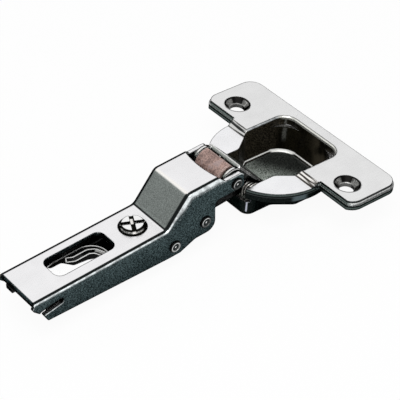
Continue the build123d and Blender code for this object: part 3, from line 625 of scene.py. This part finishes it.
def plated(
    name,
    tones,
    edge=SHEET_EDGE,
    metal=1.0,
    outline_from=0.55,
    outline_at=(0.988, 0.935),
    shine=None,
    flat=False,
    axes=ARM_AXES,
    origin=(0.0, 0.0, 0.0),
    tone=None,
):
    """Plated sheet, painted with light and shade by the way each face turns: bright where it faces up, a painted
    dark line and a painted glint along its edges and bends, mid grey on slopes, darker and grainier on cut and
    folded sides."""
    material, g = new_material(name)
    bevel = g.bevel(edge)
    rounded = g.to_object(bevel)
    face = SimpleNamespace(where=g.where(), flat=g.flat_normal())
    face.fore, face.left, face.up = g.along(rounded, axes)
    face.aside = g.size(face.left)
    face.ahead = g.dot(face.where, FORWARD)
    face.raised = g.ramp_mm(face.ahead, *CRANK_FOOT)
    turned = g.dot(rounded, face.flat)
    add_noise(g, face, tones)

    colour = faces_and_bends(g, face, tones)
    colour = flank_edges(g, colour, face, axes)
    # Painted shade: faces that turn down go dark, and those that look straight down a mottled grey
    colour = g.mix(g.ramp(face.up, -0.10, -0.32), colour, PAINTED_SHADE_DARK)
    colour = g.mix(g.ramp(face.up, -0.55, -0.85), colour, g.scaled(UNDERSIDE_GREY, face.mottle))
    # A painted line along the edges of faces that look up: dark on most pieces, white on the clamp
    outlined = g.ramp(g.dot(face.flat, axes[2]), outline_from, outline_from + OUTLINE_FADE)
    colour = g.mix(g.both(g.ramp(turned, *outline_at), outlined), colour, tones.line)
    # A painted highlight along edges that lean forward
    if shine is not None:
        leaning_fore = g.ramp(g.less(face.fore, g.dot(face.flat, axes[0])), 0.08, 0.2)
        colour = g.mix(g.both(g.ramp(turned, 0.955, 0.90), leaning_fore, outlined), colour, shine)
    matt = None
    if tone is not None:
        place = g.vector("SUBTRACT", face.where, tuple(origin))
        face.along, face.across, face.height = g.along(place, axes)
        face.sideways = g.node("ShaderNodeCombineXYZ", {"X": face.fore, "Y": face.left}).outputs["Vector"]
        colour, matt = tone(g, colour, face)

    height = g.add(g.both(face.grit, 0.7), g.both(face.drawn, 0.3))
    rounding = {} if flat else {"Normal": bevel}
    g.surface(
        {
            "Base Color": colour,
            "Metallic": metal if matt is None else g.less(metal, matt),
            "Roughness": g.ramp(face.grit, 0.3, 0.7, 0.23, 0.36),
            "Specular IOR Level": 0.12,
            "Specular Tint": (0.32, 0.32, 0.32, 1),
            "Normal": g.relief(height, 0.2, 0.05, **rounding),
        }
    )
    return material


def rivet_head(g, where, grit, axis, tones, round_about):
    """A head painted dark, with a painted highlight ring and dimple about the pin's axis and painted shade round
    its edge.
    The ring is lit at its upper rear part, and round_about says how much of that light the rest of it has."""
    face, ring, dark = tones
    off = g.vector("MULTIPLY", g.vector("SUBTRACT", where, tuple(axis)), (1.0, 0.0, 1.0))
    away = g.node("ShaderNodeVectorMath", {0: off}, operation="LENGTH").outputs["Value"]
    way = g.node("ShaderNodeVectorMath", {0: off}, operation="NORMALIZE").outputs[0]
    lit = g.ramp(g.dot(way, RING_LIT_WAY), -0.1, 0.85, round_about, 1.0)
    head = g.scaled(face, g.ramp(grit, 0.38, 0.62, 0.5, 1.6))
    head = g.mix(g.both(g.band_mm(away, *RING_RADII), lit), head, ring)
    head = g.mix(g.ramp_mm(away, *DIMPLE_RADIUS), head, DIMPLE_WHITE)
    return g.mix(g.ramp_mm(away, *HEAD_RADIUS), head, dark)


def turned_steel(name, tones, axis=None, round_about=None):
    """Turned steel: faces painted dark as shade, painted bright where an edge or groove lip turns upwards."""
    face, ring, dark = tones
    material, g = new_material(name)
    where = g.where()
    bevel = g.bevel(TURNED_EDGE)
    rounded = g.to_object(bevel)
    upper = g.dot(rounded, UPPER_REAR_WAY)
    turned = g.dot(rounded, g.flat_normal())
    grit = g.noise(where, TURNED_GRAIN, 3.0, 0.65)
    colour = g.scaled(face, g.ramp(grit, 0.38, 0.62, 0.7, 1.4))
    colour = g.mix(g.ramp(turned, 0.99, 0.93), colour, g.mix(g.ramp(upper, 0.0, 0.4), dark, ring))
    colour = g.mix(g.ramp(upper, 0.45, 0.8), colour, ring)
    if axis is not None:
        head = rivet_head(g, where, grit, axis, tones, round_about)
        colour = g.mix(g.ramp_mm(g.size(g.dot(where, LEFT)), *PIN_HEADS), colour, head)
    g.surface(
        {
            "Base Color": colour,
            "Metallic": 1.0,
            "Roughness": g.ramp(grit, 0.3, 0.7, 0.22, 0.34),
            "Specular Tint": (0.6, 0.6, 0.6, 1),
            "Normal": g.relief(grit, 0.15, 0.04, Normal=bevel),
        }
    )
    return material


def rivet_steel(node_name, round_about):
    """Turned steel whose head rings lie about that pin's own axis."""
    low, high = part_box(node_name)
    axis = (low + high) / 2
    return turned_steel(node_name + "_steel", RIVET_TONES, axis, round_about)


def moulded(name, light, dark, edge):
    """Moulded plastic with a fine eroded texture, and a painted highlight along its edges."""
    material, g = new_material(name)
    where = g.where()
    bevel = g.bevel(MOULDED_EDGE, samples=6)
    grit = g.noise(where, MOULDED_GRAIN, 4.0, 0.65)
    cloud = g.noise(where, PATCHES)
    mottle = g.add(g.both(grit, 0.6), g.both(cloud, 0.4))
    colour = g.speckled(mottle, 0.40, 0.60, (dark, light))
    colour = g.mix(g.ramp(cloud, 0.56, 0.66, 0.0, 0.35), colour, PLASTIC_CLOUD)
    turned = g.dot(g.to_object(bevel), g.flat_normal())
    # Painted highlight along the edges
    colour = g.mix(g.both(g.ramp(turned, 0.985, 0.92), 0.8), colour, edge)
    g.surface(
        {
            "Base Color": colour,
            "Roughness": g.ramp(grit, 0.3, 0.7, 0.42, 0.6),
            "Normal": g.relief(grit, 0.3, 0.04, Normal=bevel),
        }
    )
    return material


pin_steel = turned_steel("rivet_steel", RIVET_TONES)
wire_steel = turned_steel("wire_steel", WIRE_TONES)
plastic = moulded("damper_plastic", *PLASTIC_TONES)

WEARS = {
    "hinge_arm": plated("nickel_sheet", ARM_TONES),
    "hinge_cup": plated("cup_nickel", CUP_TONES, axes=CUP_AXES, origin=CUP_CENTRE, tone=cup_colour),
    "inner_slide": plated("slide_steel", SLIDE_TONES, tone=slide_colour),
    "slide_clamp": plated(
        "clamp_steel",
        CLAMP_TONES,
        edge=CLAMP_EDGE,
        metal=0.15,
        outline_at=(0.994, 0.955),
        flat=True,
    ),
    "side_screw": plated("screw_steel", SCREW_TONES, edge=SCREW_EDGE, tone=screw_colour),
    "outer_link": plated(
        "link_steel",
        OUTER_LINK_TONES,
        edge=WIDE_EDGE,
        outline_from=0.05,
        outline_at=(0.992, 0.965),
        shine=OUTER_LINK_SHINE,
    ),
    "inner_link": plated("bar_steel", INNER_LINK_TONES),
    "slide_rivet": rivet_steel("slide_rivet", round_about=0.6),
    "rear_link_pin": rivet_steel("rear_link_pin", round_about=0.15),
    "front_link_pin": rivet_steel("front_link_pin", round_about=0.08),
    "link_spacer_near": pin_steel,
    "link_spacer_far": pin_steel,
    "link_washer_near": pin_steel,
    "link_washer_far": pin_steel,
    "outer_cup_pin": pin_steel,
    "inner_cup_pin": pin_steel,
    "closing_spring_near": wire_steel,
    "closing_spring_far": wire_steel,
    "damper_barrel": plastic,
    "damper_cap_near": plastic,
    "damper_cap_far": plastic,
    "damper_rotor": plastic,
}
for node_name, material in WEARS.items():
    piece = frame["nodes"][node_name]
    piece.data.materials.clear()
    piece.data.materials.append(material)

# A dark sheet that stands in for the shade under the clamp's round front end, seen through the slide's slot
SHADE_SHEET_PLACE = (27.5 * MM, 0.0, -4.63 * MM)
SHADE_SHEET_SIZE = (11.0 * MM, 10.0 * MM, 0.22 * MM)
bpy.ops.mesh.primitive_cube_add(size=1.0, location=SHADE_SHEET_PLACE)
shade_sheet = bpy.context.object
shade_sheet.name = "clamp_shade_sheet"
shade_sheet.data.transform(Matrix.Diagonal((*SHADE_SHEET_SIZE, 1.0)))
shade_sheet.data.materials.append(plated("shade_sheet_dark", SHADE_SHEET_TONES))
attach(shade_sheet, "arm")

# Pale floor just under the cup: its own grey under the light, lifted to the white of the backdrop
FLOOR_PLACE = (50.0 * MM, 0.0, -13.5 * MM)
FLOOR_SIZE = 4.0
FLOOR_GREY = (0.95, 0.95, 0.95, 1)
FLOOR_LIFT = 0.94
bpy.ops.mesh.primitive_plane_add(size=FLOOR_SIZE, location=FLOOR_PLACE)
ground = bpy.context.object
ground.name = "ground"
pale_ground, g = new_material("pale_ground")
grey = g.node("ShaderNodeBsdfDiffuse", {"Color": FLOOR_GREY})
white = g.node("ShaderNodeEmission", {"Color": WHITE, "Strength": 1.0})
lift = g.both(g.backdrop_rays(), FLOOR_LIFT)
mixed = g.node("ShaderNodeMixShader", {0: lift, 1: grey.outputs[0], 2: white.outputs[0]})
g.node("ShaderNodeOutputMaterial", {"Surface": mixed.outputs[0]})
ground.data.materials.append(pale_ground)

# World: soft grey light, white where the camera or a reflection sees it
SOFT_GREY = (0.78, 0.78, 0.78, 1)
SOFT_LEVEL = 0.52
world = bpy.data.worlds.new("studio")
bpy.context.scene.world = world
world.use_nodes = True
g = Graph(world.node_tree)
soft = g.node("ShaderNodeBackground", {"Color": SOFT_GREY, "Strength": SOFT_LEVEL})
white = g.node("ShaderNodeBackground", {"Color": WHITE, "Strength": 1.0})
mixed = g.node("ShaderNodeMixShader", {0: g.backdrop_rays(), 1: soft.outputs[0], 2: white.outputs[0]})
g.node("ShaderNodeOutputWorld", {"Surface": mixed.outputs[0]})

# Soft boxes: place and width in metres, power in watts
LAMPS = {
    "key": ((-0.10, -0.20, 0.55), 0.45, 2.4),
    "back": ((-0.30, 0.45, 0.35), 0.35, 0.30),
}
LAMP_AIM = Vector((0.05, 0.0, 0.0))
for lamp_name, (place, width, power) in LAMPS.items():
    data = bpy.data.lights.new(lamp_name, "AREA")
    data.shape = "SQUARE"
    data.size = width
    data.energy = power
    lamp = bpy.data.objects.new(lamp_name, data)
    lamp.location = place
    lamp.rotation_mode = "QUATERNION"
    lamp.rotation_quaternion = (LAMP_AIM - Vector(place)).to_track_quat("-Z", "Y")
    bpy.context.collection.objects.link(lamp)

# Camera: its place and bearing were solved from the photograph
CAMERA_PLACE = (-0.14319, -0.24331, 0.27332)
CAMERA_AZIMUTH = math.radians(-39.63)
CAMERA_ELEVATION = math.radians(41.24)
CAMERA_LENS = 141.69
CAMERA_SENSOR = 36.0
CLIP_NEAR = 0.01
CLIP_FAR = 10.0
camera_data = bpy.data.cameras.new("camera")
camera_data.sensor_width = CAMERA_SENSOR
camera_data.lens = CAMERA_LENS
camera_data.clip_start = CLIP_NEAR
camera_data.clip_end = CLIP_FAR
camera = bpy.data.objects.new("camera", camera_data)
camera.location = CAMERA_PLACE
level = math.cos(CAMERA_ELEVATION)
towards_camera = Vector(
    (math.sin(CAMERA_AZIMUTH) * level, -math.cos(CAMERA_AZIMUTH) * level, math.sin(CAMERA_ELEVATION))
)
camera.rotation_mode = "QUATERNION"
camera.rotation_quaternion = (-towards_camera).to_track_quat("-Z", "Y")
bpy.context.collection.objects.link(camera)
bpy.context.scene.camera = camera
bpy.context.scene.view_settings.view_transform = "Standard"
